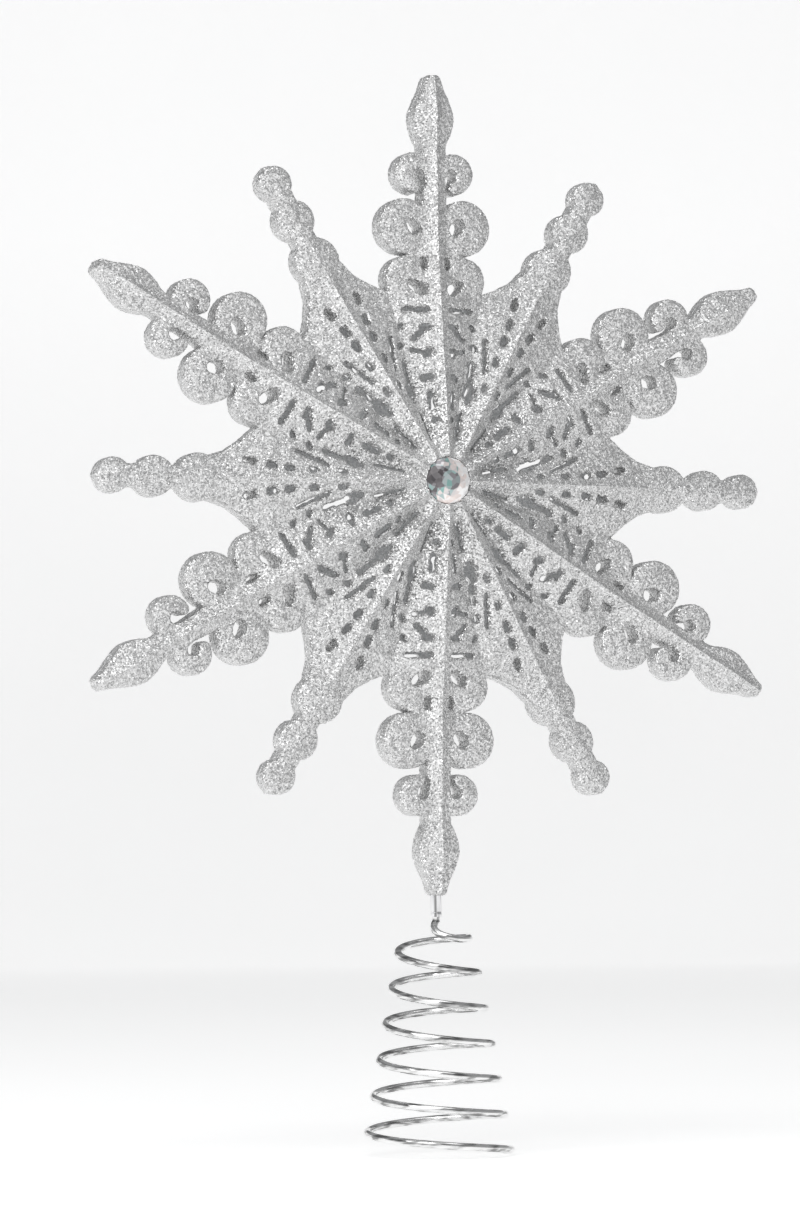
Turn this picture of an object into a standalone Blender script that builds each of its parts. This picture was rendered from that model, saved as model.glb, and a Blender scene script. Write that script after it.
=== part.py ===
"""Snowflake tree topper: two openwork half shells, a gem on each side, and a conical wire spring.

Metres, +Z up. The front of the snowflake faces -Y. The origin is the centre of the spring's open mouth,
where the top shoot of the tree goes in. Lengths below are in millimetres until a mesh is made.
"""
import math

import bmesh
import bpy
from mathutils import Matrix, Vector
from mathutils.geometry import delaunay_2d_cdt

MM = 0.001
SLIVER_AREA = 1e-4

# Spring, heights from the mouth
WIRE_RADIUS = 1.05
COIL_TURNS = 6
COIL_PITCH = 9.9
COIL_FOOT_RADIUS = 20.4
COIL_TOP_RADIUS = 9.8
LEAD_IN_TURNS = 0.45
LEAD_IN_RISE = 4.6
TURN_TILT = math.radians(7)
STEM_IN_SHELL = 22.0
SWAY_DEPTH = 17.0
POINTS_PER_TURN = 16

# Stem sleeve
SLEEVE_BORE_RADIUS = 1.17
SLEEVE_RADIUS = 1.5
SLEEVE_IN_SHELL = 16.0
WIRE_BELOW_SLEEVE = 1.2
SLEEVE_SIDES = 16

# Snowflake, distances from the hub
ARM_REACH = 115.0
STEM_SHOWING = 7.2
ARM_COUNT = 6
STEM_HALF_WIDTH = 3.7
VALLEY_RADIUS = 55.2
VALLEY_ANGLE = math.radians(15)
BEAD_ANGLE = math.radians(30)
BEAD_NECK_HALF_WIDTH = 2.8

# Curls on a main arm: distance out, distance off the arm's axis, radius
SMALL_CURL = (87.2, 6.0, 5.8)
LARGE_CURL = (72.0, 8.9, 7.85)
INNER_CURL = (57.2, 8.6, 6.4)

# Beads on a secondary arm: distance out, radius
BEADS = ((70.3, 6.7), (83.2, 5.7), (94.9, 4.9))
BEAD_TIP = 100.2

# Half thickness from the parting plane to the face: (distance out, height)
MAIN_RIDGE = ((8.6, 12.0), (64.0, 5.2), (94.0, 4.4), (103.5, 4.8), (115.0, 3.3))
BEAD_RIDGE = (
    (8.6, 11.6), (63.0, 4.7), (69.6, 5.2), (76.4, 3.5),
    (82.4, 4.8), (88.7, 3.4), (94.4, 4.5), (99.7, 3.1),
)
VALLEY_FLOOR = ((8.6, 10.2), (13.0, 7.2), (20.0, 5.4), (35.0, 4.2), (55.2, 3.0))
STEM_TENT_HALF_WIDTH = 8.0
PARTING_HALF_GAP = 0.15

# The shells are hollow out to the ring where their walls come down to the parting plane
WALL = 2.0
HOLLOW_RADIUS = 50.6
HOLLOW_END_RADIUS = 51.4
VALLEY_RINGS = (13.0, 20.0)

# Hub
BEZEL_TOP = 12.3
BEZEL_OUTER = 8.1
BEZEL_FOOT = 8.6
BEZEL_INNER = 6.95
SEAT_RADIUS = 6.85
SEAT_HEIGHT = 9.6
RING_TOLERANCE = 0.01

# Gem
GEM_RADIUS = 6.5
GEM_BACK = 9.9
GEM_ROWS = ((6.5, 10.7), (5.2, 12.7), (2.9, 13.9))
GEM_SIDES = 12

# Moulded locating pins, one behind each innermost bead, and the groove for the stem
PIN_RADIUS = 1.2
PIN_LENGTH = 2.2
SOCKET_CLEARANCE = 0.3
GROOVE_RADIUS = 1.8
GROOVE_SPARE = 3.0

COIL_HEIGHT = WIRE_RADIUS + COIL_TURNS * COIL_PITCH + LEAD_IN_RISE
HUB_HEIGHT = COIL_HEIGHT + STEM_SHOWING + ARM_REACH
SWAY_HEIGHT = COIL_HEIGHT - SWAY_DEPTH


def between(table, x):
    """Straight-line interpolation in a short list of (x, value) pairs."""
    for (x0, y0), (x1, y1) in zip(table, table[1:]):
        if x <= x1:
            share = max(0.0, (x - x0) / (x1 - x0))
            return y0 + (y1 - y0) * share
    return table[-1][1]


def arc(centre, radius, start, end, steps):
    """Points on a circle, from start to end in degrees, where 0 points outwards along the arm."""
    points = []
    for i in range(steps + 1):
        angle = math.radians(start + (end - start) * i / steps)
        points.append((centre[0] + radius * math.cos(angle), centre[1] + radius * math.sin(angle)))
    return points


def from_bead_arm(point):
    """A point given along and off the secondary arm's axis, in the main arm's coordinates."""
    along, off = point
    return (
        along * math.cos(BEAD_ANGLE) + off * math.sin(BEAD_ANGLE),
        along * math.sin(BEAD_ANGLE) - off * math.cos(BEAD_ANGLE),
    )


def to_bead_arm(point):
    u, v = point
    return (
        u * math.cos(BEAD_ANGLE) + v * math.sin(BEAD_ANGLE),
        u * math.sin(BEAD_ANGLE) - v * math.cos(BEAD_ANGLE),
    )


def main_arm_edge():
    """One side of a main arm, from its tip in to the valley: finial, small hook, large and inner curl."""
    finial = [
        (ARM_REACH, 0), (114.4, 2.2), (110.8, 3.5), (107.0, 5.0), (103.3, 6.1), (98.6, 5.1),
        (94.6, STEM_HALF_WIDTH),
    ]
    small = arc(SMALL_CURL, SMALL_CURL[2], -23, 181, 7)
    hook_slot = [
        (82.0, 4.7), (83.2, 4.4), (84.5, 4.8), (86.1, 6.4), (87.7, 5.8), (88.1, 4.5), (86.8, 3.3), (84.0, 3.3),
        (81.0, 3.5),
    ]
    large = arc(LARGE_CURL, LARGE_CURL[2], -41, 184, 8)
    inner = arc(INNER_CURL, INNER_CURL[2], 12, 112, 4)
    return finial + small + hook_slot + large + inner


def bead_arm_edge():
    """One side of a secondary arm, from the valley out to its tip: flare and three beads."""
    flare = [(57.6, 10.7), (62.0, 7.8)]
    edge = list(flare)
    start = 115
    for i, (along, radius) in enumerate(BEADS):
        end = 30 if i == len(BEADS) - 1 else math.degrees(math.asin(BEAD_NECK_HALF_WIDTH / radius))
        edge += arc((along, 0), radius, start, end, 5)
        if i < len(BEADS) - 1:
            start = 180 - math.degrees(math.asin(BEAD_NECK_HALF_WIDTH / BEADS[i + 1][1]))
    edge.append((BEAD_TIP, 0))
    return [from_bead_arm(point) for point in edge]


def box_hole(u, v, length, width):
    return [
        (u - length / 2, v - width / 2),
        (u + length / 2, v - width / 2),
        (u + length / 2, v + width / 2),
        (u - length / 2, v + width / 2),
    ]


def holes():
    """The openwork in half a sector: curl eyes, the cross slot, the ladder beside the ridge, and slots."""
    large_eye = arc((71.9, 6.5), 2.1, 0, 300, 5)
    inner_eye = arc((54.8, 5.8), 2.1, 0, 300, 5)
    slot_beside_stem = box_hole(61.6, 3.5, 3.0, 1.6)
    cross_slot = box_hole(48.3, 6.2, 1.4, 7.0)
    diagonal_slot = [(43.2, 5.8), (41.0, 8.4), (39.8, 7.4), (42.0, 4.9)]
    ladder = [
        box_hole(43.6, 3.7, 1.9, 1.3),
        box_hole(36.0, 4.1, 2.2, 2.6),
        box_hole(29.2, 3.9, 1.9, 2.6),
        box_hole(23.2, 3.0, 4.6, 1.6),
    ]
    valley_slot = [(33.6, 10.0), (33.6, 11.2), (26.0, 9.9), (22.6, 8.6), (23.0, 7.4), (26.4, 7.9)]
    valley_spot = box_hole(43.6, 10.7, 2.0, 1.5)
    beside_bead_ridge = [
        [from_bead_arm(corner) for corner in box_hole(55.8, 4.8, 2.8, 1.9)],
        [from_bead_arm(corner) for corner in box_hole(49.7, 3.6, 2.6, 1.8)],
        [from_bead_arm(corner) for corner in box_hole(44.5, 2.9, 2.6, 1.7)],
    ]
    eyes_and_slots = [
        large_eye, inner_eye, slot_beside_stem, cross_slot, diagonal_slot, valley_slot, valley_spot,
    ]
    return eyes_and_slots + ladder + beside_bead_ridge


def rings():
    hub = [SEAT_RADIUS, BEZEL_INNER, BEZEL_OUTER, BEZEL_FOOT]
    return hub + list(VALLEY_RINGS) + [HOLLOW_RADIUS, HOLLOW_END_RADIUS]


def face_height(point):
    """Half thickness at a point of the half sector: ridges along both arms, a valley between them."""
    radius = math.hypot(*point)
    if radius < SEAT_RADIUS + RING_TOLERANCE:
        return SEAT_HEIGHT
    if radius < BEZEL_OUTER + RING_TOLERANCE:
        return BEZEL_TOP
    floor = between(VALLEY_FLOOR, radius)
    if math.atan2(point[1], point[0]) <= VALLEY_ANGLE:
        along, off = point
        ridge = between(MAIN_RIDGE, along)
        narrow = STEM_TENT_HALF_WIDTH
    else:
        along, off = to_bead_arm(point)
        ridge = between(BEAD_RIDGE, along)
        narrow = BEADS[0][1]
    half_width = along * math.tan(VALLEY_ANGLE)
    if along > VALLEY_RADIUS:
        half_width = max(narrow, VALLEY_RADIUS * math.tan(VALLEY_ANGLE) - (along - VALLEY_RADIUS))
    return floor + (ridge - floor) * max(0.0, 1 - abs(off) / half_width)


def core_height(point):
    """Distance from the parting plane to the shell's inner face, one wall behind the outer one."""
    if math.hypot(*point) > HOLLOW_RADIUS + RING_TOLERANCE:
        return PARTING_HALF_GAP
    return min(face_height(point), SEAT_HEIGHT) - WALL


def area(a, b, c):
    return abs((b[0] - a[0]) * (c[1] - a[1]) - (c[0] - a[0]) * (b[1] - a[1])) / 2


def inside(point, loop):
    found = False
    for (x0, y0), (x1, y1) in zip(loop, loop[1:] + loop[:1]):
        if (y0 > point[1]) != (y1 > point[1]):
            if point[0] < x0 + (point[1] - y0) * (x1 - x0) / (y1 - y0):
                found = not found
    return found


def half_sector():
    """Flat triangles of one twelfth of the snowflake, as points and index lists."""
    valley = (VALLEY_RADIUS * math.cos(VALLEY_ANGLE), VALLEY_RADIUS * math.sin(VALLEY_ANGLE))
    rings_in = sorted(rings(), reverse=True)
    further_in = tuple(rings_in[:2]) + (44.0, 37.0, 29.0)
    main_out = (110.8, 103.5, 98.6, 94.0, 87.2, 80.0, 72.0, 64.0, 56.0) + further_in
    bead_out = (94.9, 89.6, 83.2, 77.2, 70.3, 63.5, 57.0) + further_in
    main_axis = [(u, 0) for u in main_out]
    bead_axis = [from_bead_arm((s, 0)) for s in bead_out]
    on_main = [(radius, 0) for radius in rings_in]
    on_bead = [from_bead_arm((radius, 0)) for radius in rings_in]
    in_valley = [(radius * math.cos(VALLEY_ANGLE), radius * math.sin(VALLEY_ANGLE)) for radius in rings_in]
    free_line = main_arm_edge() + [valley] + bead_arm_edge()
    border = free_line + bead_axis + on_bead[2:] + [(0, 0)] + on_main[2:][::-1] + main_axis[::-1]
    loops = [border] + holes()
    points = []
    edges = []
    for loop in loops:
        first = len(points)
        points += loop
        edges += [(first + i, first + (i + 1) % len(loop)) for i in range(len(loop))]
    first = len(points)
    points += in_valley
    chain = [free_line.index(valley)] + list(range(first, first + len(in_valley)))
    edges += list(zip(chain, chain[1:]))
    for i, radius in enumerate(rings_in):
        edges.append((border.index((radius, 0)), first + i))
        edges.append((first + i, border.index(from_bead_arm((radius, 0)))))
    flat, _, faces, _, _, _ = delaunay_2d_cdt([Vector(p) for p in points], edges, [], 0, 1e-7)
    flat = [(p.x, p.y) for p in flat]
    triangles = []
    for face in faces:
        corners = [flat[i] for i in face]
        middle = (sum(p[0] for p in corners) / 3, sum(p[1] for p in corners) / 3)
        in_hole = any(inside(middle, hole) for hole in loops[1:])
        if area(*corners) > SLIVER_AREA and inside(middle, border) and not in_hole:
            triangles.append(tuple(face))
    return flat, triangles


def free_edges(flat, triangles):
    """Directed edges used by one triangle only, without those on the two mirror lines."""
    directed = {(a, b) for t in triangles for a, b in zip(t, t[1:] + t[:1])}
    free = []
    for a, b in directed:
        if (b, a) in directed:
            continue
        on_main = abs(flat[a][1]) < 1e-4 and abs(flat[b][1]) < 1e-4
        on_bead = abs(to_bead_arm(flat[a])[1]) < 1e-4 and abs(to_bead_arm(flat[b])[1]) < 1e-4
        if not (on_main or on_bead):
            free.append((a, b))
    return free


def shell_mesh(name, front):
    """The whole half shell: twelve half sectors, each with its face, its parting side and its edge walls."""
    flat, triangles = half_sector()
    walls = free_edges(flat, triangles)
    side = -1 if front else 1
    mesh = bmesh.new()
    for sector in range(ARM_COUNT):
        turn = math.radians(90 + 60 * sector)
        for mirror in (1, -1):
            place = Matrix.Rotation(-turn, 3, "Y")
            outer = []
            inner = []
            for u, v in flat:
                outer.append(mesh.verts.new(place @ Vector((u, side * face_height((u, v)), mirror * v)) * MM))
                inner.append(mesh.verts.new(place @ Vector((u, side * core_height((u, v)), mirror * v)) * MM))
            keep = (mirror == 1) == front
            for a, b, c in triangles:
                mesh.faces.new((outer[a], outer[b], outer[c]) if keep else (outer[c], outer[b], outer[a]))
                mesh.faces.new((inner[c], inner[b], inner[a]) if keep else (inner[a], inner[b], inner[c]))
            for a, b in walls:
                wall = (outer[b], outer[a], inner[a], inner[b])
                mesh.faces.new(wall if keep else wall[::-1])
    bmesh.ops.remove_doubles(mesh, verts=mesh.verts, dist=1e-3 * MM)
    bmesh.ops.triangulate(mesh, faces=[f for f in mesh.faces if len(f.verts) > 3])
    data = bpy.data.meshes.new(name)
    mesh.to_mesh(data)
    mesh.free()
    return data


def turned_mesh(name, rows, sides, twist=0.0):
    """A closed solid from rings (radius, depth) stacked along +Y, each turned half a side where twist says."""
    mesh = bmesh.new()
    rings = []
    for row, (radius, depth) in enumerate(rows):
        ring = []
        for i in range(sides):
            angle = 2 * math.pi * (i + twist * (row % 2)) / sides
            ring.append(mesh.verts.new((radius * MM * math.cos(angle), depth * MM, radius * MM * math.sin(angle))))
        rings.append(ring)
    for low, high in zip(rings, rings[1:]):
        for i in range(sides):
            j = (i + 1) % sides
            mesh.faces.new((low[i], low[j], high[j], high[i]))
    mesh.faces.new(rings[0][::-1])
    mesh.faces.new(rings[-1])
    bmesh.ops.recalc_face_normals(mesh, faces=mesh.faces)
    data = bpy.data.meshes.new(name)
    mesh.to_mesh(data)
    mesh.free()
    return data


def add_object(name, data, material, location, parent=None):
    thing = bpy.data.objects.new(name, data)
    bpy.context.collection.objects.link(thing)
    thing.location = location
    thing.parent = parent
    if material:
        data.materials.append(material)
    return thing


def principled(name, colour, roughness, metallic, transmission=0.0):
    material = bpy.data.materials.new(name)
    material.use_nodes = True
    shader = material.node_tree.nodes["Principled BSDF"]
    shader.inputs["Base Color"].default_value = (*colour, 1.0)
    shader.inputs["Roughness"].default_value = roughness
    shader.inputs["Metallic"].default_value = metallic
    shader.inputs["Transmission Weight"].default_value = transmission
    return material


def cutter(name, mesh, parent):
    thing = add_object(name, mesh, None, (0, 0, 0), parent)
    thing.hide_render = True
    thing.display_type = "WIRE"
    return thing


def boolean(thing, other, operation):
    modifier = thing.modifiers.new(other.name, "BOOLEAN")
    modifier.operation = operation
    modifier.object = other


def pin_places():
    for sector in range(ARM_COUNT):
        angle = math.radians(60 * sector)
        yield BEADS[0][0] * math.cos(angle), BEADS[0][0] * math.sin(angle)


def pins_mesh(name, radius, start, end):
    """Six short round bars along Y, one behind each innermost bead, from start to end off the plane."""
    bars = bmesh.new()
    for x, z in pin_places():
        made = bmesh.ops.create_cone(
            bars, cap_ends=True, segments=10, radius1=radius * MM, radius2=radius * MM, depth=(end - start) * MM
        )
        place = Matrix.Translation((x * MM, (start + end) / 2 * MM, z * MM)) @ Matrix.Rotation(math.pi / 2, 4, "X")
        bmesh.ops.transform(bars, matrix=place, verts=made["verts"])
    data = bpy.data.meshes.new(name)
    bars.to_mesh(data)
    bars.free()
    return data


def groove_mesh():
    """A round bar up the bottom arm, in the hub's coordinates: the space for the sleeve and the stem."""
    bottom = -ARM_REACH - 1.0
    top = -ARM_REACH + STEM_IN_SHELL + GROOVE_SPARE
    bar = bmesh.new()
    bmesh.ops.create_cone(
        bar, cap_ends=True, segments=12, radius1=GROOVE_RADIUS * MM, radius2=GROOVE_RADIUS * MM,
        depth=(top - bottom) * MM,
    )
    bmesh.ops.translate(bar, vec=(0, 0, (top + bottom) / 2 * MM), verts=bar.verts)
    data = bpy.data.meshes.new("stem_groove")
    bar.to_mesh(data)
    bar.free()
    return data


def make_shells(pivot, hub, material):
    groove = cutter("stem_groove", groove_mesh(), pivot)
    groove.location = hub
    for name, front in (("front_shell", True), ("rear_shell", False)):
        shell = add_object(name, shell_mesh(name, front), material, hub, pivot)
        boolean(shell, groove, "DIFFERENCE")
        if front:
            reach = PIN_LENGTH + SOCKET_CLEARANCE
            bars = pins_mesh("pin_sockets", PIN_RADIUS + SOCKET_CLEARANCE, -reach, 1.0)
        else:
            bars = pins_mesh("pins", PIN_RADIUS, -PIN_LENGTH, 1.5)
        tool = cutter(name + "_pins", bars, pivot)
        tool.location = hub
        boolean(shell, tool, "DIFFERENCE" if front else "UNION")


def make_gems(pivot, hub, material):
    rows = [(GEM_RADIUS, GEM_BACK)] + list(GEM_ROWS)
    for name, side in (("front_gem", -1), ("rear_gem", 1)):
        data = turned_mesh(name, [(radius, side * depth) for radius, depth in rows], GEM_SIDES, twist=0.5)
        add_object(name, data, material, hub, pivot)


def make_sleeve(pivot, tip, material):
    """A thin tube on the stem, from just under the finial's tip to its end inside the finial."""
    bottom = -STEM_SHOWING + WIRE_BELOW_SLEEVE
    top = SLEEVE_IN_SHELL
    rows = (
        (SLEEVE_BORE_RADIUS, bottom), (SLEEVE_RADIUS, bottom), (SLEEVE_RADIUS, top), (SLEEVE_BORE_RADIUS, top),
    )
    tube = bmesh.new()
    rings = []
    for radius, height in rows:
        ring = []
        for i in range(SLEEVE_SIDES):
            angle = 2 * math.pi * i / SLEEVE_SIDES
            ring.append(tube.verts.new((radius * MM * math.cos(angle), radius * MM * math.sin(angle), height * MM)))
        rings.append(ring)
    for low, high in zip(rings, rings[1:] + rings[:1]):
        for i in range(SLEEVE_SIDES):
            j = (i + 1) % SLEEVE_SIDES
            tube.faces.new((low[i], low[j], high[j], high[i]))
    data = bpy.data.meshes.new("stem_sleeve")
    tube.to_mesh(data)
    tube.free()
    data.shade_smooth()
    data.set_sharp_from_angle(angle=math.radians(40))
    return add_object("stem_sleeve", data, material, tip, pivot)


def spring_path():
    """The wire's centre line from the foot of the coil up into the snowflake, wound left-handed."""
    points = []
    steps = COIL_TURNS * POINTS_PER_TURN
    for i in range(steps + 1):
        turns_down = COIL_TURNS * (1 - i / steps)
        share = turns_down / COIL_TURNS
        radius = COIL_TOP_RADIUS + (COIL_FOOT_RADIUS - COIL_TOP_RADIUS) * share ** 0.92
        angle = 2 * math.pi * turns_down
        across = radius * math.sin(angle)
        tilt = across * math.tan(TURN_TILT) * (1 - share)
        height = WIRE_RADIUS + (COIL_TURNS - turns_down) * COIL_PITCH + tilt
        points.append(Vector((radius * math.cos(angle), across, height)))
    lead = int(LEAD_IN_TURNS * POINTS_PER_TURN) + 1
    top_turn = WIRE_RADIUS + COIL_TURNS * COIL_PITCH
    for i in range(1, lead + 1):
        share = i / lead
        radius = COIL_TOP_RADIUS * (1 - share)
        angle = -2 * math.pi * LEAD_IN_TURNS * share
        across = radius * math.sin(angle)
        height = top_turn + LEAD_IN_RISE * share ** 2.2 + across * math.tan(TURN_TILT)
        points.append(Vector((radius * math.cos(angle), across, height)))
    tip = COIL_HEIGHT + STEM_SHOWING
    for height in (COIL_HEIGHT + 2.0, tip, tip + STEM_IN_SHELL):
        points.append(Vector((0, 0, height)))
    return points


def make_spring(material):
    curve = bpy.data.curves.new("spring_wire", "CURVE")
    curve.dimensions = "3D"
    curve.bevel_depth = WIRE_RADIUS * MM
    curve.bevel_resolution = 2
    curve.use_fill_caps = True
    path = spring_path()
    spline = curve.splines.new("POLY")
    spline.points.add(len(path) - 1)
    for point, place in zip(spline.points, path):
        point.co = (*(place * MM), 1.0)
    return add_object("spring_wire", curve, material, (0, 0, 0))


def main():
    for thing in list(bpy.data.objects):
        bpy.data.objects.remove(thing, do_unlink=True)
    glitter = principled("glitter_plastic", (0.72, 0.72, 0.74), 0.38, 0.75)
    crystal = principled("clear_gem", (0.9, 0.93, 0.95), 0.03, 0.0, transmission=0.8)
    sleeve_metal = principled("sleeve_metal", (0.82, 0.82, 0.84), 0.16, 1.0)
    spring_metal = principled("spring_metal", (0.86, 0.86, 0.87), 0.1, 1.0)
    pivot = add_object("sway_pivot", None, None, (0, 0, SWAY_HEIGHT * MM))
    hub = Vector((0, 0, (HUB_HEIGHT - SWAY_HEIGHT) * MM))
    tip = Vector((0, 0, (HUB_HEIGHT - ARM_REACH - SWAY_HEIGHT) * MM))
    make_shells(pivot, hub, glitter)
    make_gems(pivot, hub, crystal)
    make_sleeve(pivot, tip, sleeve_metal)
    make_spring(spring_metal)


main()
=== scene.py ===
"""The looks of the snowflake tree topper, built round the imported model.

The two half shells, the gems, the sleeve and the spring are made again as fine meshes in the same places.
Shapes are worked out in millimetres, from the hub in the snowflake's plane, and turned into metres when a
mesh is made. A main arm's coordinates are (u, v): u out along the arm, v off its axis. A secondary arm's are
(s, w).
"""

import math

import bmesh
import bpy
import numpy as np
from mathutils import Matrix, Vector, noise
from mathutils.geometry import delaunay_2d_cdt


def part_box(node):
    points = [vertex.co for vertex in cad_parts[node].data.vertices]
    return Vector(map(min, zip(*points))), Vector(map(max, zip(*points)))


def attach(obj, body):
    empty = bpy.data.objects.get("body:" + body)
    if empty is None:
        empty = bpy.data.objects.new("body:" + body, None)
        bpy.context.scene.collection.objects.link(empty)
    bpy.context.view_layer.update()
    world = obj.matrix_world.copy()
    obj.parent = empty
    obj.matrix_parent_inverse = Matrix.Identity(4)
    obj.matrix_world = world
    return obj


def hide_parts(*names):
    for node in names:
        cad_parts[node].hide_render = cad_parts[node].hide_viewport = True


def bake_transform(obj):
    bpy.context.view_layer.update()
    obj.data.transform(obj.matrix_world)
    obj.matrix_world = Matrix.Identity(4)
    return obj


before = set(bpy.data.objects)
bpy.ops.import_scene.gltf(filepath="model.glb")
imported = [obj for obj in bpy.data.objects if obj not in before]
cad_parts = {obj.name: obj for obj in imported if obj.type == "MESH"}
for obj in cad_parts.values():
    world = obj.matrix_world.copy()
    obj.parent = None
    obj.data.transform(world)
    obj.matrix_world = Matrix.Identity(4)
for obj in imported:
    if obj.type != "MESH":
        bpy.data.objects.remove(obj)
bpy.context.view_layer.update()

MM = 0.001
SEED = 12

# Places read from the frame
GEM_LOW, GEM_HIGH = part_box("front_gem")
SLEEVE_LOW, SLEEVE_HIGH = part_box("stem_sleeve")
SPRING_LOW, SPRING_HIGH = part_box("spring_wire")
HUB = (GEM_LOW + GEM_HIGH) / 2
HUB.y = 0.0

# Snowflake outline, as in the CAD but with slightly fuller necks between the beads
ARM_REACH = 115.0
ARM_COUNT = 6
STEM_HALF_WIDTH = 3.7
VALLEY_RADIUS = 55.2
VALLEY_ANGLE = math.radians(15)
BEAD_ANGLE = math.radians(30)
BEAD_NECK_HALF_WIDTH = 3.1
SMALL_CURL = (87.2, 6.0, 5.8)
LARGE_CURL = (72.0, 8.9, 7.85)
INNER_CURL = (57.2, 8.6, 6.4)
BEADS = ((70.3, 6.7), (83.2, 5.7), (94.9, 4.9))
BEAD_TIP = 100.2

# Heights from the parting plane to the face, as (distance out, height)
MAIN_RIDGE = ((8.6, 12.0), (64.0, 5.4), (94.0, 4.6), (103.5, 5.2), (115.0, 3.4))
BEAD_RIDGE = ((8.6, 11.6), (56.0, 5.4), (63.0, 4.7), (83.0, 4.3), (95.0, 3.9), (100.2, 2.4))
VALLEY_FLOOR = ((8.6, 10.2), (13.0, 7.2), (20.0, 5.4), (35.0, 4.2), (55.2, 3.1), (60.0, 2.8))
MAIN_HALF_WIDTH = ((0.0, 0.0), (50.0, 13.4), (60.0, 4.8), (92.0, 4.4), (97.0, 6.2), (115.0, 6.2))
BEAD_HALF_WIDTH = ((0.0, 0.0), (50.0, 13.4), (62.0, 7.0), (100.0, 5.5))
PARTING_HALF_GAP = 0.15
CURLS_FROM = 50.0
CURL_EDGE = 2.9
CURL_DOME = 1.2
BEAD_EDGE = 2.2
BEAD_DOME = 1.5
BEAD_DOME_SPARE = 0.2
CREST_ROUNDING = 0.45
RIB_HEIGHT = 0.55
RIB_HALF_WIDTH = 0.95
BEAD_RIB_END = 66.0
BEAD_RIB_FADE = 4.0
EDGE_ROUNDING = 0.85

# Hub
SEAT_RADIUS = 6.53
SEAT_HEIGHT = 9.6
BEZEL_INNER = 6.62
BEZEL_OUTER = 8.1
BEZEL_FOOT = 8.6
BEZEL_TOP = 11.7
BEZEL_DROP = 1.4
BEZEL_REACH = 9.2
BEZEL_BLEND = 0.3
HUB_RINGS = (SEAT_RADIUS, BEZEL_INNER, 7.1, 7.6, BEZEL_OUTER, 8.4, BEZEL_FOOT)

# Gems: each row's radius, its height from the parting plane, and its turn in facets
GEM_ROWS = (
    (6.4, 9.95, 0.0), (6.66, 10.3, 0.0), (6.66, 11.6, 0.0),
    (5.7, 12.4, 0.5), (4.4, 13.1, 0.0), (2.8, 13.7, 0.5),
)
GEM_SIDES = 12

# A gem's facets are painted as reflections, darkest round one spot and lighter further out: so far to the
# left, seen from outside, and so far up
GEM_PAINTED_DARK_SPOT = (4.6, 0.6)
GEM_PAINTED_DARK_REACH = 10.5
GEM_UNEVENNESS = 0.12
GEM_CELLS_PER_METRE = 620.0
GEM_CELL_SHARE = 0.25

# The hollow behind the face
WALL = 1.5
HOLLOW_RADIUS = 53.0
HOLLOW_FADE = 4.0
RIM_WIDTH = 1.8
RIM_FADE = 1.5

# Groove for the sleeve, up the bottom arm
GROOVE_RADIUS = 1.8
GROOVE_LENGTH = 25.0
GROOVE_ROWS = (0.9, 1.5, 1.8, 2.1)
GROOVE_SPACING = 1.5

# Mesh, and the unevenness of the glitter on it
FACE_SPACING = 0.79
EDGE_SPACING = 0.7
EDGE_ROWS = (0.2, 0.5)
INNER_SPACING = 3.4
WALL_ROWS = 4
GRAIN_HEIGHT = 0.085
GRAIN_SIDE = 0.09
RELIEF_HEIGHT = 0.2
RELIEF_SIZE = 2.2
HOLE_SHARE = 0.92
HOLE_NOISE = 0.28
HOLE_NOISE_SIZE = 1.6
MERGE = 1e-4
MERGE_SHIFT = 0.272
SLIVER_AREA = 1e-4

# Spring, as in the CAD
WIRE_RADIUS = 1.05
COIL_TURNS = 6
COIL_PITCH = 9.9
COIL_FOOT_RADIUS = 20.4
COIL_TOP_RADIUS = 9.8
LEAD_IN_TURNS = 0.45
LEAD_IN_RISE = 4.6
TURN_TILT = math.radians(7)
POINTS_PER_TURN = 72
STEM_POINTS = 12
WIRE_SIDES = 20
CAP_RISE = 0.35
CAP_SHARE = 0.86

# Sleeve
SLEEVE_GAP = 0.08
SLEEVE_LIP = 0.2
SLEEVE_SIDES = 48
ROLLED_RING = ((1.2, 0.0), (1.4, 0.06), (1.6, 0.0))

# Glitter
FLAKES_PER_METRE = 2700.0
# Strength of a painted glow on the inner plastic, standing in for light coming through the milky wall
PAINTED_GLOW_THROUGH_WALL = 0.035

# Camera and stage, in metres, with the lens in millimetres
CAMERA_AZIMUTH = math.radians(-21.9)
CAMERA_ELEVATION = math.radians(-3.5)
CAMERA_ROLL = math.radians(-0.44)
CAMERA_DISTANCE = 1.329
CAMERA_ACROSS = -0.0094
CAMERA_RISE = -0.0344
CAMERA_LENS = 140.7
STAGE_MIDDLE = 0.02
STAGE_FLAT = 3.7
STAGE_CURVE = 0.9
STAGE_CURVE_STEPS = 16
STAGE_WALL = 1.35
STAGE_SIDES = 96
FLOOR_GLOW = 0.49
WALL_GLOW = 0.45
WALL_GLOW_HEIGHT = 0.35
DIM_SIDE_AZIMUTH = 68
DIM_SIDE_START = 0.3
DIM_SIDE_END = 3.6
DIM_SIDE = 0.05
WORLD_GLOW = 0.3


# ---------------------------------------------------------------- outlines

def arc(centre, radius, start, end, steps=12):
    """Points on a circle, from start to end in degrees, where 0 points outwards along the arm."""
    angles = np.radians(np.linspace(start, end, steps + 1))
    return [(centre[0] + radius * math.cos(a), centre[1] + radius * math.sin(a)) for a in angles]


def swap_arm(point):
    """From (u, v) to (s, w) or back: the two arms' axes are 30 degrees apart."""
    along, off = point
    return (
        along * math.cos(BEAD_ANGLE) + off * math.sin(BEAD_ANGLE),
        along * math.sin(BEAD_ANGLE) - off * math.cos(BEAD_ANGLE),
    )


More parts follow.
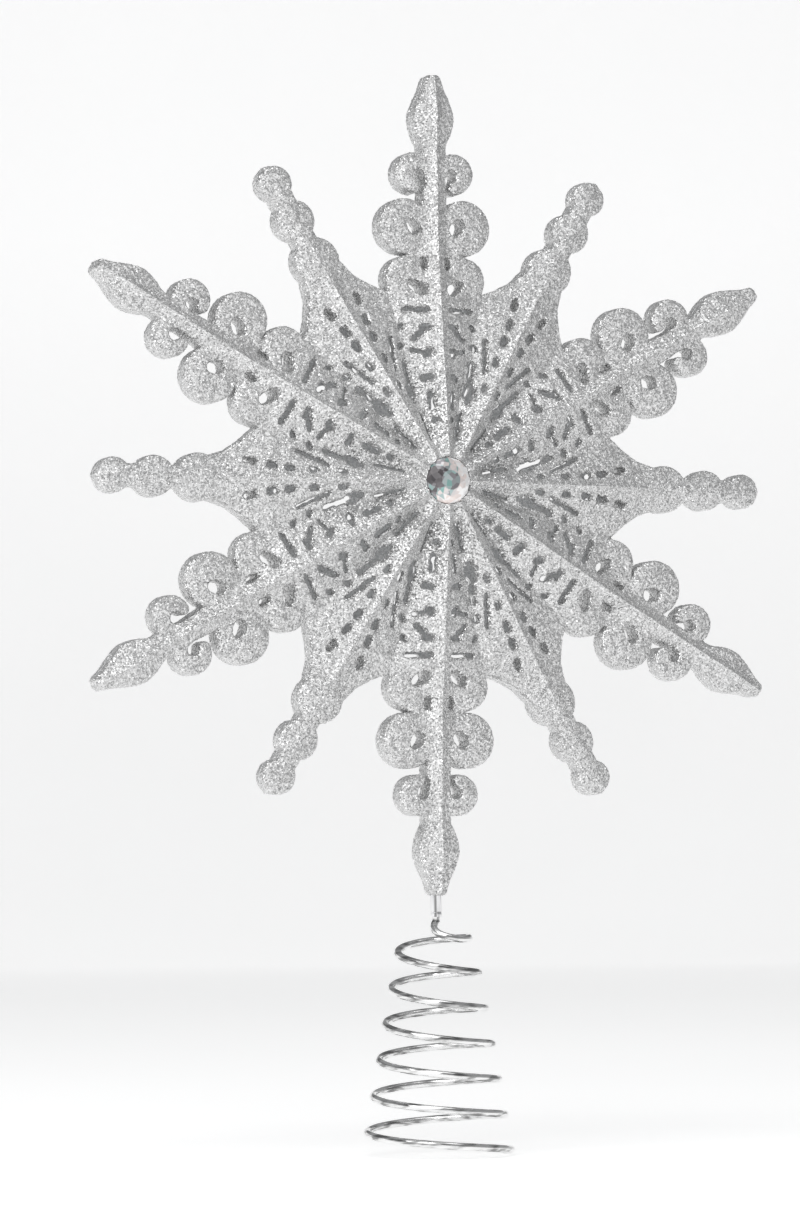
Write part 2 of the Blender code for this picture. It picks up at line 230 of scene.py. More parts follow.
def curve_through(points, steps=5):
    """A Catmull-Rom curve through the points."""
    p = np.array([points[0]] + list(points) + [points[-1]], float)
    made = []
    for i in range(1, len(p) - 2):
        for t in np.arange(steps) / steps:
            made.append(tuple(0.5 * (
                2 * p[i] + (p[i + 1] - p[i - 1]) * t
                + (2 * p[i - 1] - 5 * p[i] + 4 * p[i + 1] - p[i + 2]) * t ** 2
                + (3 * p[i] - p[i - 1] - 3 * p[i + 1] + p[i + 2]) * t ** 3
            )))
    return made + [tuple(p[-2])]


def spaced(points, spacing, closed=False):
    """The same line with points added, so that no run is longer than spacing."""
    ends = points[1:] + points[:1] if closed else points[1:]
    made = []
    for a, b in zip(points, ends):
        run, rise = b[0] - a[0], b[1] - a[1]
        pieces = max(1, math.ceil(math.dist(a, b) / spacing - 1e-6))
        made += [(a[0] + run * k / pieces, a[1] + rise * k / pieces) for k in range(pieces)]
    return made if closed else made + [points[-1]]


def main_arm_edge():
    """One side of a main arm, from its tip in to the valley: finial, small hook, large and inner curl."""
    finial = curve_through([
        (ARM_REACH, 0.0), (114.7, 1.8), (111.2, 3.0), (107.2, 4.9), (103.3, 6.1), (99.0, 5.4),
        (95.4, STEM_HALF_WIDTH), (93.2, 3.5),
    ])
    small = arc(SMALL_CURL, SMALL_CURL[2], -23, 181)
    eye = curve_through([
        (81.7, 5.2), (82.4, 4.5), (83.4, 4.4), (84.5, 4.9), (85.2, 6.1), (86.5, 6.6),
        (87.8, 6.0), (88.2, 4.7), (87.3, 3.6), (85.4, 3.2), (83.2, 3.3), (81.0, 3.5),
    ])
    large = arc(LARGE_CURL, LARGE_CURL[2], -41, 184, 18)
    inner = arc(INNER_CURL, INNER_CURL[2], 12, 112)
    return finial + small + eye + large + inner


def bead_arm_edge():
    """One side of a secondary arm, from the valley out to its tip: flare and three beads."""
    edge = [(57.6, 10.7), (62.0, 7.8)]
    start = 115
    for i, (along, radius) in enumerate(BEADS):
        last = i == len(BEADS) - 1
        end = 30 if last else math.degrees(math.asin(BEAD_NECK_HALF_WIDTH / radius))
        edge += arc((along, 0), radius, start, end)
        if not last:
            start = 180 - math.degrees(math.asin(BEAD_NECK_HALF_WIDTH / BEADS[i + 1][1]))
    edge.append((BEAD_TIP, 0.0))
    return [swap_arm(point) for point in edge]


def slot(u0, v0, u1, v1, width):
    """A hole with round ends, from one point to the other. Glitter narrows it from its moulded width."""
    turn = math.degrees(math.atan2(v1 - v0, u1 - u0))
    half = width * HOLE_SHARE / 2
    return arc((u1, v1), half, turn - 90, turn + 90, 5) + arc((u0, v0), half, turn + 90, turn + 270, 5)


def holes():
    """The openwork in half a sector."""
    on_main_arm = (
        (72.5, 7.0, 71.3, 6.1, 3.9),     # eye of the large curl
        (62.8, 3.5, 60.4, 3.5, 1.6),     # slot beside the stem
        (55.6, 6.9, 54.0, 4.2, 3.2),     # eye of the inner curl
        (48.3, 3.2, 48.3, 9.8, 1.4),     # cross slot
        (43.6, 3.4, 43.3, 5.0, 1.9),
        (42.6, 4.7, 40.2, 7.2, 1.7),
        (44.0, 10.6, 43.2, 11.0, 1.6),
        (36.6, 3.5, 35.8, 4.0, 2.3),
        (36.3, 4.6, 36.9, 7.8, 1.1),
        (38.4, 11.0, 37.6, 11.4, 1.5),
        (29.4, 3.1, 28.9, 5.0, 1.9),
        (24.6, 3.3, 20.8, 2.9, 1.7),
        (17.5, 2.5, 16.9, 2.5, 1.6),
        (33.3, 10.2, 22.4, 8.3, 1.5),    # along the valley
        (26.4, 9.0, 24.4, 8.6, 3.2),
        (19.3, 6.1, 11.6, 3.8, 0.8),
    )
    on_bead_arm = (
        (56.6, 5.0, 55.0, 4.6, 1.9),
        (50.4, 3.7, 49.0, 3.4, 2.0),
        (45.2, 3.0, 43.8, 2.7, 1.8),
        (38.6, 2.6, 37.2, 2.4, 1.6),
        (42.2, 7.7, 33.6, 3.9, 1.1),
        (30.4, 2.2, 28.8, 2.0, 1.2),
    )
    main = [slot(*row) for row in on_main_arm]
    bead = [[swap_arm(point) for point in slot(*row)] for row in on_bead_arm]
    return main + bead


def roughened(loop):
    """A hole's outline, uneven where the glitter has built up on it."""
    made = []
    for u, v in loop:
        shift = noise.noise_vector(Vector((u, v, 0)) / HOLE_NOISE_SIZE) * HOLE_NOISE
        made.append((u + shift.x, v + shift.y))
    return made


# ---------------------------------------------------------------- heights

def table(rows, x):
    """Straight-line interpolation in rows of (x, value)."""
    places, values = zip(*rows)
    return np.interp(x, places, values)


def smooth_max(a, b, rounding=0.5):
    """The larger of two heights, with the corner between them rounded."""
    return 0.5 * (a + b + np.sqrt((a - b) ** 2 + rounding ** 2))


def distance_to(points, segments):
    """Distance from each point to the nearest segment. segments holds rows of (x0, y0, x1, y1)."""
    start = segments[:, :2]
    along = segments[:, 2:] - start
    length = (along ** 2).sum(1)
    nearest = np.full(len(points), np.inf)
    for i in range(0, len(points), 500):
        part = points[i:i + 500, None, :] - start[None]
        share = np.clip((part * along[None]).sum(2) / length, 0, 1)
        gap = part - share[..., None] * along[None]
        nearest[i:i + 500] = np.sqrt((gap ** 2).sum(2)).min(1)
    return nearest


def dome(u, v, centre_u, centre_v, radius, rise):
    """A rounded cap over a disc, with nothing outside it."""
    share = 1 - ((u - centre_u) ** 2 + (v - centre_v) ** 2) / radius ** 2
    return rise * np.sqrt(np.clip(share, 0, 1))


def face_height(points, edge_distance):
    """Height of the face over the parting plane: ridges, valleys, curls, beads and the hub, edges rounded."""
    u, v = points.T
    s, w = swap_arm((u, v))
    radius = np.hypot(u, v)
    on_main = np.arctan2(v, u) <= VALLEY_ANGLE
    along = np.where(on_main, u, s)
    off = np.abs(np.where(on_main, v, w))
    half_width = np.where(on_main, table(MAIN_HALF_WIDTH, along), table(BEAD_HALF_WIDTH, along))
    ridge = np.where(on_main, table(MAIN_RIDGE, along), table(BEAD_RIDGE, along))
    floor = table(VALLEY_FLOOR, radius)
    crest = np.sqrt(off ** 2 + CREST_ROUNDING ** 2) - CREST_ROUNDING
    height = floor + (ridge - floor) * np.clip(1 - crest / np.maximum(half_width, 0.1), 0, 1)
    rib_share = np.where(on_main, 1.0, np.clip((BEAD_RIB_END - along) / BEAD_RIB_FADE, 0, 1))
    height += RIB_HEIGHT * rib_share * np.exp(-(off / RIB_HALF_WIDTH) ** 2)
    for centre_u, centre_v, curl_radius in (SMALL_CURL, LARGE_CURL, INNER_CURL):
        curl = CURL_EDGE + dome(u, v, centre_u, centre_v, curl_radius, CURL_DOME)
        height = np.where(on_main & (radius > CURLS_FROM), smooth_max(height, curl), height)
    for centre_s, bead_radius in BEADS:
        bead = BEAD_EDGE + dome(s, w, centre_s, 0, bead_radius + BEAD_DOME_SPARE, BEAD_DOME)
        height = np.where(~on_main & (radius > CURLS_FROM), smooth_max(height, bead), height)
    bezel = BEZEL_TOP - BEZEL_DROP * ((radius - BEZEL_INNER) / (BEZEL_OUTER - BEZEL_INNER)) ** 2
    height = np.where(radius < BEZEL_REACH, smooth_max(height, bezel, BEZEL_BLEND), height)
    height = np.where(radius < SEAT_RADIUS + 0.02, SEAT_HEIGHT, height)
    near = np.clip(1 - edge_distance / EDGE_ROUNDING, 0, 1)
    return height - EDGE_ROUNDING * (1 - np.sqrt(1 - near ** 2))


def inner_height(points, outer, rim_distance):
    """Height of the inner side: a hollow with even walls, closed at the rim and out on the arms."""
    radius = np.hypot(*points.T)
    open_share = np.clip((HOLLOW_RADIUS - radius) / HOLLOW_FADE, 0, 1)
    open_share *= np.clip((rim_distance - RIM_WIDTH) / RIM_FADE, 0, 1)
    ceiling = np.minimum(outer, SEAT_HEIGHT) - WALL
    return PARTING_HALF_GAP + open_share * np.clip(ceiling - PARTING_HALF_GAP, 0, None)


# ---------------------------------------------------------------- shells

def inside(points, loop):
    """Which points lie inside the closed loop, by counting crossings."""
    x, y = points.T
    found = np.zeros(len(points), bool)
    for (x0, y0), (x1, y1) in zip(loop, loop[1:] + loop[:1]):
        if y0 != y1:
            crossed = ((y0 > y) != (y1 > y)) & (x < x0 + (y - y0) * (x1 - x0) / (y1 - y0))
            found ^= crossed
    return found


def segments_of(points, closed):
    """Rows of (x0, y0, x1, y1), one for each run from a point to the next."""
    a = np.array(points, float)
    b = np.roll(a, -1, axis=0)
    rows = np.hstack([a, b])
    return rows if closed else rows[:-1]


def grid_points(spacing):
    """A triangular grid over one half sector."""
    rise = spacing * math.sqrt(3) / 2
    rows = []
    for k in range(int(60 / rise)):
        start = spacing / 2 * (k % 2)
        along = np.arange(start, ARM_REACH, spacing)
        rows.append(np.stack([along, np.full(len(along), (k + 0.5) * rise)], 1))
    return np.vstack(rows)


def snapped(flat):
    """The points, with those on the two mirror lines put exactly there, so that mirrored halves meet."""
    s, w = swap_arm(flat.T)
    on_bead_axis = np.abs(w) < MERGE
    flat[on_bead_axis] = np.outer(s[on_bead_axis], (math.cos(BEAD_ANGLE), math.sin(BEAD_ANGLE)))
    flat[np.abs(flat[:, 1]) < MERGE, 1] = 0
    return flat


class HalfSector:
    """Half of one sixth of the snowflake: its outline, its holes and their distances."""

    def __init__(self):
        valley = (VALLEY_RADIUS * math.cos(VALLEY_ANGLE), VALLEY_RADIUS * math.sin(VALLEY_ANGLE))
        free_line = spaced(main_arm_edge() + [valley] + bead_arm_edge(), EDGE_SPACING)
        bead_tip = free_line[-1]
        axes = spaced([bead_tip, (0.0, 0.0), free_line[0]], EDGE_SPACING)
        self.border = free_line + axes[1:-1]
        self.holes = [roughened(spaced(loop, EDGE_SPACING, closed=True)) for loop in holes()]
        self.rim = segments_of(free_line, False)
        self.free = np.vstack([self.rim] + [segments_of(loop, True) for loop in self.holes])
        self.axes = segments_of([bead_tip, (0.0, 0.0), free_line[0]], False)

    def filled(self, points, clearance):
        """The points that lie on the plastic, clear of every edge and of both mirror lines."""
        keep = inside(points, self.border)
        for loop in self.holes:
            keep &= ~inside(points, loop)
        points = points[keep]
        keep = distance_to(points, self.free) > clearance
        keep &= distance_to(points, self.axes) > clearance
        return points[keep]

    def edge_rows(self):
        """Points set in from every edge by each of the edge rows."""
        middle = (self.free[:, :2] + self.free[:, 2:]) / 2
        along = self.free[:, 2:] - self.free[:, :2]
        across = np.stack([-along[:, 1], along[:, 0]], 1) / np.linalg.norm(along, axis=1)[:, None]
        made = []
        for row in EDGE_ROWS:
            both = np.vstack([middle + across * row, middle - across * row])
            made.append(self.filled(both, row * 0.9))
        return np.vstack(made)

    def hub_rings(self):
        """Points on circles round the hub, where the seat and the bezel bend."""
        made = []
        for radius in HUB_RINGS:
            angles = np.linspace(0, BEAD_ANGLE, 7)[1:-1]
            made.append(np.stack([radius * np.cos(angles), radius * np.sin(angles)], 1))
        return np.vstack(made)

    def groove_lines(self):
        """Points along the groove for the sleeve, so that its round section shows."""
        along = np.arange(ARM_REACH - GROOVE_LENGTH, ARM_REACH - 0.5, GROOVE_SPACING)
        return np.vstack([np.stack([along, np.full(len(along), off)], 1) for off in GROOVE_ROWS])

    def triangles(self, extra):
        """The flat triangles between the outline, the holes and the extra points."""
        loops = [self.border] + self.holes
        points = []
        edges = []
        for loop in loops:
            first = len(points)
            points += [Vector(p) for p in loop]
            edges += [(first + i, first + (i + 1) % len(loop)) for i in range(len(loop))]
        points += [Vector(p) for p in extra]
        flat, _, faces, _, _, _ = delaunay_2d_cdt(points, edges, [], 0, 1e-7)
        flat = snapped(np.array(flat, float))
        faces = np.array([f for f in faces if len(f) == 3])
        corner = flat[faces]
        one, two = corner[:, 1] - corner[:, 0], corner[:, 2] - corner[:, 0]
        keep = np.abs(one[:, 0] * two[:, 1] - one[:, 1] * two[:, 0]) / 2 > SLIVER_AREA
        middle = corner.mean(1)
        keep &= inside(middle, self.border)
        for loop in self.holes:
            keep &= ~inside(middle, loop)
        return flat, faces[keep]

    def free_edges(self, flat, faces):
        """The edges that one triangle alone uses, apart from those on the two mirror lines."""
        pairs = np.vstack([faces[:, [0, 1]], faces[:, [1, 2]], faces[:, [2, 0]]])
        used = {tuple(pair) for pair in pairs.tolist()}
        alone = np.array([pair for pair in used if pair[::-1] not in used])
        on_axis = distance_to(flat, self.axes) < MERGE
        return alone[~(on_axis[alone[:, 0]] & on_axis[alone[:, 1]])]


def sector_heights(half, flat, grooved):
    """Heights of the outer and inner sides over the flat points, with the sleeve's groove where grooved."""
    edge = distance_to(flat, half.free)
    outer = face_height(flat, edge)
    inner = inner_height(flat, outer, distance_to(flat, half.rim))
    if grooved:
        off = flat[:, 1]
        in_groove = flat[:, 0] > ARM_REACH - GROOVE_LENGTH
        groove = np.sqrt(np.clip(GROOVE_RADIUS ** 2 - off ** 2, 0, None))
        inner = np.where(in_groove, np.maximum(inner, groove), inner)
    return outer, inner


def placed(flat, height, turn, mirror, side):
    """Points of a half sector in its place round the hub, in millimetres."""
    u, v = flat[:, 0], mirror * flat[:, 1]
    x = u * math.cos(turn) - v * math.sin(turn)
    z = u * math.sin(turn) + v * math.cos(turn)
    return np.stack([x, side * height, z], 1)


def wall_corners(top, bottom, edges):
    """Triangle corners of the walls between two lines of points, in WALL_ROWS rows."""
    made = []
    for row in range(WALL_ROWS):
        high = top + (bottom - top) * row / WALL_ROWS
        low = top + (bottom - top) * (row + 1) / WALL_ROWS
        a, b, c, d = high[edges[:, 0]], high[edges[:, 1]], low[edges[:, 1]], low[edges[:, 0]]
        made += [np.stack([a, b, c], 1), np.stack([a, c, d], 1)]
    return np.vstack(made)


def shell_corners(half, side):
    """All of a half shell's triangle corners, the outer ones first, and how many of those there are."""
    fine_points = half.filled(grid_points(FACE_SPACING), FACE_SPACING * 0.85)
    fine, fine_faces = half.triangles(np.vstack([fine_points, half.edge_rows(), half.hub_rings()]))
    coarse_points = half.filled(grid_points(INNER_SPACING), INNER_SPACING * 0.4)
    coarse, coarse_faces = half.triangles(np.vstack([coarse_points, half.groove_lines()]))
    fine_edges = half.free_edges(fine, fine_faces)
    outward = []
    inward = []
    for sector in range(ARM_COUNT):
        turn = math.radians(90 + 60 * sector)
        grooved = math.sin(turn) < -0.99
        outer, under = sector_heights(half, fine, grooved)
        _, inner = sector_heights(half, coarse, grooved)
        for mirror in (1, -1):
            top = placed(fine, outer, turn, mirror, side)
            bottom = placed(fine, under, turn, mirror, side)
            outward += [top[fine_faces], wall_corners(top, bottom, fine_edges)]
            inward.append(placed(coarse, inner, turn, mirror, side)[coarse_faces])
    outward = np.vstack(outward)
    return np.vstack([outward, np.vstack(inward)]), len(outward)


def grained(places, movable, side):
    """The points with a low uneven relief and the glitter's grain: each one moved a little."""
    random = np.random.default_rng(SEED)
    moves = random.uniform(-1, 1, places.shape) * (GRAIN_SIDE, GRAIN_HEIGHT, GRAIN_SIDE)
    relief = [noise.noise(Vector(place) / RELIEF_SIZE) for place in places.tolist()]
    moves[:, 1] += side * RELIEF_HEIGHT * np.array(relief)
    moves[~movable] = 0
    low = PARTING_HALF_GAP + 0.05
    made = places + moves
    made[movable, 1] = side * np.maximum(side * made[movable, 1], low)
    return made


def filled_mesh(work, data):
    """The bmesh written into the mesh data, with its faces pointing out."""
    bmesh.ops.recalc_face_normals(work, faces=work.faces)
    work.to_mesh(data)
    work.free()
    return data


def mesh_from(name, places, faces):
    """A closed mesh from points in millimetres round the hub."""
    data = bpy.data.meshes.new(name)
    data.from_pydata((places * MM + np.array(HUB)).tolist(), [], faces.tolist())
    work = bmesh.new()
    work.from_mesh(data)
    return filled_mesh(work, data)


def add_circle(work, radius, height, sides):
    """A ring of points round the Z axis."""
    angles = [2 * math.pi * i / sides for i in range(sides)]
    return [work.verts.new((radius * math.cos(a), radius * math.sin(a), height)) for a in angles]


def add_skin(work, rows):
    """Faces between each closed row of points and the next."""
    for low, high in zip(rows, rows[1:]):
        for i in range(len(low)):
            j = (i + 1) % len(low)
            work.faces.new((low[i], low[j], high[j], high[i]))


def add_caps(work, rows):
    """A face over the first row of points and one over the last."""
    work.faces.new(rows[0][::-1])
    work.faces.new(rows[-1])


def make_shell(name, half, side, glitter, plastic, node):
    """One half shell. Corners in the same tiny cell are one point; the cells start off round numbers."""
    corners, outward_count = shell_corners(half, side)
    keys = np.floor(corners.reshape(-1, 3) / MERGE + MERGE_SHIFT).astype(np.int64)
    _, first, index = np.unique(keys, axis=0, return_index=True, return_inverse=True)
    places = corners.reshape(-1, 3)[first]
    faces = index.reshape(-1, 3)
    whole = (faces[:, 0] != faces[:, 1]) & (faces[:, 1] != faces[:, 2]) & (faces[:, 2] != faces[:, 0])
    movable = np.ones(len(places), bool)
    movable[faces[outward_count:].ravel()] = False
    places = grained(places, movable, side)
    data = mesh_from(name, places, faces[whole])
    shell = add_piece(name, data, glitter)
    data.materials.append(plastic)
    is_inner = np.zeros(len(faces), np.int32)
    is_inner[outward_count:] = 1
    data.polygons.foreach_set("material_index", is_inner[whole])
    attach(shell, "snowflake")
    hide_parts(node)


# ---------------------------------------------------------------- gems, sleeve and spring

def add_piece(name, data, material):
    """A new object with its material."""
    piece = bpy.data.objects.new(name, data)
    bpy.context.collection.objects.link(piece)
    data.materials.append(material)
    return piece


def make_gem(name, side, material, node):
    """A round brilliant: a thin girdle, three rows of triangular crown facets and a small table."""
    work = bmesh.new()
    rows = []
    for radius, depth, twist in GEM_ROWS:
        angles = [2 * math.pi * (i + twist) / GEM_SIDES for i in range(GEM_SIDES)]
        rows.append([
            work.verts.new(HUB + Vector((radius * math.cos(a), side * depth, radius * math.sin(a))) * MM)
            for a in angles
        ])
    for row, (low, high) in enumerate(zip(rows, rows[1:])):
        lead = GEM_ROWS[row + 1][2] > GEM_ROWS[row][2]
        lag = GEM_ROWS[row + 1][2] < GEM_ROWS[row][2]
        for i in range(GEM_SIDES):
            j = (i + 1) % GEM_SIDES
            if lead:
                work.faces.new((low[i], low[j], high[i]))
                work.faces.new((low[j], high[j], high[i]))
            elif lag:
                work.faces.new((low[i], high[j], high[i]))
                work.faces.new((low[i], low[j], high[j]))
            else:
                work.faces.new((low[i], low[j], high[j], high[i]))
    add_caps(work, rows)
    data = filled_mesh(work, bpy.data.meshes.new(name))
    # Painted reflections: each facet's glint value grows with its distance from the painted dark spot, with a
    # small random spread
    painted_reflection = data.attributes.new("facet", "FLOAT", "FACE")
    random = np.random.default_rng(SEED + 1)
    spot = HUB + Vector((side * GEM_PAINTED_DARK_SPOT[0], 0, GEM_PAINTED_DARK_SPOT[1])) * MM
    away = np.array([math.hypot(f.center.x - spot.x, f.center.z - spot.z) for f in data.polygons])
    painted_glints = away / (GEM_PAINTED_DARK_REACH * MM) + random.uniform(-GEM_UNEVENNESS, GEM_UNEVENNESS, len(away))
    painted_reflection.data.foreach_set("value", painted_glints.astype(np.float32))
    gem = add_piece(name, data, material)
    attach(gem, "snowflake")
    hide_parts(node)


def make_sleeve(material):
    """The thin tube on the stem, with a rolled lower lip and a pressed ring above it."""
    bottom = SLEEVE_LOW.z / MM
    top = SLEEVE_HIGH.z / MM
    outer = (SLEEVE_HIGH.x - SLEEVE_LOW.x) / 2 / MM
    bore = WIRE_RADIUS + SLEEVE_GAP
    profile = [
        (bore, bottom + SLEEVE_LIP), (bore + 0.06, bottom),
        (outer - 0.08, bottom), (outer, bottom + SLEEVE_LIP),
    ]
    profile += [(outer - depth, bottom + rise) for rise, depth in ROLLED_RING]
    profile += [(outer, top), (bore, top)]
    work = bmesh.new()
    rows = [add_circle(work, radius * MM, height * MM, SLEEVE_SIDES) for radius, height in profile]
    add_skin(work, rows + rows[:1])
    data = filled_mesh(work, bpy.data.meshes.new("sleeve"))
    data.shade_smooth()
    data.set_sharp_from_angle(angle=math.radians(35))
    sleeve = add_piece("sleeve", data, material)
    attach(sleeve, "snowflake")
    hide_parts("stem_sleeve")


def spring_path():
    """The wire's centre line from the foot of the coil up into the snowflake, wound left-handed."""
    points = []
    steps = COIL_TURNS * POINTS_PER_TURN
    for i in range(steps + 1):
        turns_down = COIL_TURNS * (1 - i / steps)
        share = turns_down / COIL_TURNS
        radius = COIL_TOP_RADIUS + (COIL_FOOT_RADIUS - COIL_TOP_RADIUS) * share ** 0.92
        angle = 2 * math.pi * turns_down
        across = radius * math.sin(angle)
        tilt = across * math.tan(TURN_TILT) * (1 - share)
        height = WIRE_RADIUS + (COIL_TURNS - turns_down) * COIL_PITCH + tilt
        points.append(Vector((radius * math.cos(angle), across, height)))
    lead = int(LEAD_IN_TURNS * POINTS_PER_TURN)
    top_turn = WIRE_RADIUS + COIL_TURNS * COIL_PITCH
    for i in range(1, lead + 1):
        share = i / lead
        radius = COIL_TOP_RADIUS * (1 - share)
        angle = -2 * math.pi * LEAD_IN_TURNS * share
        across = radius * math.sin(angle)
        height = top_turn + LEAD_IN_RISE * share ** 2.2 + across * math.tan(TURN_TILT)
        points.append(Vector((radius * math.cos(angle), across, height)))
    coil_top = points[-1].z
    end = SPRING_HIGH.z / MM
    for height in np.linspace(coil_top + 1.5, end, STEM_POINTS):
        points.append(Vector((0, 0, height)))
    return points


def make_spring(material):
    """One round wire as a fine tube with bevelled ends. The tube's frame is carried along without a twist."""
    path = [point * MM for point in spring_path()]
    radius = WIRE_RADIUS * MM
    last = len(path) - 1
    angles = [2 * math.pi * k / WIRE_SIDES for k in range(WIRE_SIDES)]
    work = bmesh.new()
    rows = []
    normal = Vector((0, 0, 1))
    for i, point in enumerate(path):
        tangent = (path[min(i + 1, last)] - path[max(i - 1, 0)]).normalized()
        normal = (normal - tangent * normal.dot(tangent)).normalized()
        side = tangent.cross(normal)
        places = [(point, radius)]
        if i == 0:
            places.insert(0, (point - tangent * radius * CAP_RISE, radius * CAP_SHARE))
        if i == last:
            places.append((point + tangent * radius * CAP_RISE, radius * CAP_SHARE))
        for centre, size in places:
            ring = [centre + (normal * math.cos(a) + side * math.sin(a)) * size for a in angles]
            rows.append([work.verts.new(corner) for corner in ring])
    add_skin(work, rows)
    add_caps(work, rows)
    data = filled_mesh(work, bpy.data.meshes.new("spring"))
    data.shade_smooth()
    data.set_sharp_from_angle(angle=math.radians(50))
    spring = add_piece("spring", data, material)
    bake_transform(spring)
    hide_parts("spring_wire")


# ---------------------------------------------------------------- materials

def node_material(name):
    """A new material, its node tree and its shader."""
    material = bpy.data.materials.new(name)
    material.use_nodes = True
    tree = material.node_tree
    return material, tree, tree.nodes["Principled BSDF"]


def voronoi(tree, place, scale):
    """Cells of one random colour each, scale of them to the metre."""
    cells = tree.nodes.new("ShaderNodeTexVoronoi")
    cells.inputs["Scale"].default_value = scale
    tree.links.new(place, cells.inputs["Vector"])
    return cells


def ramp(tree, value, stops):
    """A colour for each value, from stops of (place, colour), where a plain number is a grey."""
    node = tree.nodes.new("ShaderNodeValToRGB")
    elements = node.color_ramp.elements
    while len(elements) < len(stops):
        elements.new(0.5)
    for element, (place, colour) in zip(elements, stops):
        element.position = place
        element.color = (*colour, 1.0) if isinstance(colour, tuple) else (colour, colour, colour, 1.0)
    tree.links.new(value, node.inputs["Fac"])
    return node.outputs["Color"]


def vector_math(tree, operation, a, b=None, scale=None):
    """The result of a vector operation on a and b, each a socket or a fixed vector."""
    node = tree.nodes.new("ShaderNodeVectorMath")
    node.operation = operation
    for socket, value in zip(node.inputs, (a, b)):
        if isinstance(value, tuple):
            socket.default_value = value
        elif value is not None:
            tree.links.new(value, socket)
    if scale is not None:
        node.inputs["Scale"].default_value = scale
    return node.outputs["Vector"]


def flake_normal(tree, flakes, spread):
    """The surface normal, turned by up to spread in each flake's own direction."""
    tilt = vector_math(tree, "SUBTRACT", flakes.outputs["Color"], (0.5, 0.5, 0.5))
    tilt = vector_math(tree, "SCALE", tilt, scale=spread)
    normal = tree.nodes.new("ShaderNodeNewGeometry").outputs["Normal"]
    return vector_math(tree, "NORMALIZE", vector_math(tree, "ADD", normal, tilt))


def glitter_material():
    """Silver glitter: small flakes, each with its own tilt, brightness and polish."""
    material, tree, shader = node_material("silver_glitter")
    place = tree.nodes.new("ShaderNodeTexCoord").outputs["Object"]
    flakes = voronoi(tree, place, FLAKES_PER_METRE)
    tree.links.new(flake_normal(tree, flakes, 1.15), shader.inputs["Normal"])
    split = tree.nodes.new("ShaderNodeSeparateColor")
    tree.links.new(flakes.outputs["Color"], split.inputs["Color"])
    stops = ((0.0, 0.44), (0.3, 0.62), (0.7, 0.8), (0.86, 0.88), (0.93, 1.0))
    tree.links.new(ramp(tree, split.outputs["Red"], stops), shader.inputs["Base Color"])
    polish = ramp(tree, split.outputs["Green"], ((0.0, 0.16), (1.0, 0.5)))
    tree.links.new(polish, shader.inputs["Roughness"])
    shader.inputs["Metallic"].default_value = 0.85
    return material


def plastic_material():
    """The milky plastic inside the shells: only some flakes have stuck, and a faint painted glow stands in
    for daylight coming through.
    """
    material, tree, shader = node_material("milky_plastic_painted_glow")
    place = tree.nodes.new("ShaderNodeTexCoord").outputs["Object"]
    flakes = voronoi(tree, place, FLAKES_PER_METRE)
    tree.links.new(flake_normal(tree, flakes, 0.9), shader.inputs["Normal"])
    split = tree.nodes.new("ShaderNodeSeparateColor")
    tree.links.new(flakes.outputs["Color"], split.inputs["Color"])
    stops = ((0.0, (0.66, 0.67, 0.68)), (0.4, (0.86, 0.87, 0.88)), (0.9, (0.97, 0.97, 0.97)))
    tree.links.new(ramp(tree, split.outputs["Blue"], stops), shader.inputs["Base Color"])
    stuck = ramp(tree, split.outputs["Green"], ((0.55, 0.0), (0.6, 0.8)))
    tree.links.new(stuck, shader.inputs["Metallic"])
    tree.links.new(ramp(tree, split.outputs["Red"], ((0.0, 0.25), (1.0, 0.6))), shader.inputs["Roughness"])
    # Painted glow: an even white emission on the inner plastic, in place of light through the wall
    shader.inputs["Emission Color"].default_value = (1.0, 1.0, 1.0, 1.0)
    shader.inputs["Emission Strength"].default_value = PAINTED_GLOW_THROUGH_WALL
    return material


def gem_material():
    """A foil-backed stone: each facet's colour is a painted reflection, a dark, teal, pink or white glint,
    under a clear gloss.
    """
    material, tree, shader = node_material("foil_backed_stone_painted_glints")
    facet = tree.nodes.new("ShaderNodeAttribute")
    facet.attribute_name = "facet"
    place = tree.nodes.new("ShaderNodeTexCoord").outputs["Object"]
    inner = voronoi(tree, place, GEM_CELLS_PER_METRE)
    split = tree.nodes.new("ShaderNodeSeparateColor")
    tree.links.new(inner.outputs["Color"], split.inputs["Color"])
    mixed = tree.nodes.new("ShaderNodeMath")
    mixed.operation = "MULTIPLY_ADD"
    mixed.inputs[1].default_value = GEM_CELL_SHARE
    tree.links.new(split.outputs["Red"], mixed.inputs[0])
    rest = tree.nodes.new("ShaderNodeMath")
    rest.operation = "MULTIPLY"
    rest.inputs[1].default_value = 1 - GEM_CELL_SHARE
    tree.links.new(facet.outputs["Fac"], rest.inputs[0])
    tree.links.new(rest.outputs["Value"], mixed.inputs[2])
    # Painted reflections: dark facets near the painted dark spot, then teal, pink and white glints further
    # out
    stops = (
        (0.0, (0.06, 0.055, 0.06)), (0.3, (0.13, 0.12, 0.125)), (0.42, (0.34, 0.33, 0.35)),
        (0.48, (0.25, 0.46, 0.43)), (0.56, (0.62, 0.62, 0.64)), (0.66, (0.88, 0.76, 0.72)),
        (0.76, (0.97, 0.97, 0.97)),
    )
    tree.links.new(ramp(tree, mixed.outputs["Value"], stops), shader.inputs["Base Color"])
    shader.inputs["Metallic"].default_value = 0.35
    shader.inputs["Roughness"].default_value = 0.06
    shader.inputs["Coat Weight"].default_value = 0.4
    shader.inputs["Coat Roughness"].default_value = 0.02
    return material


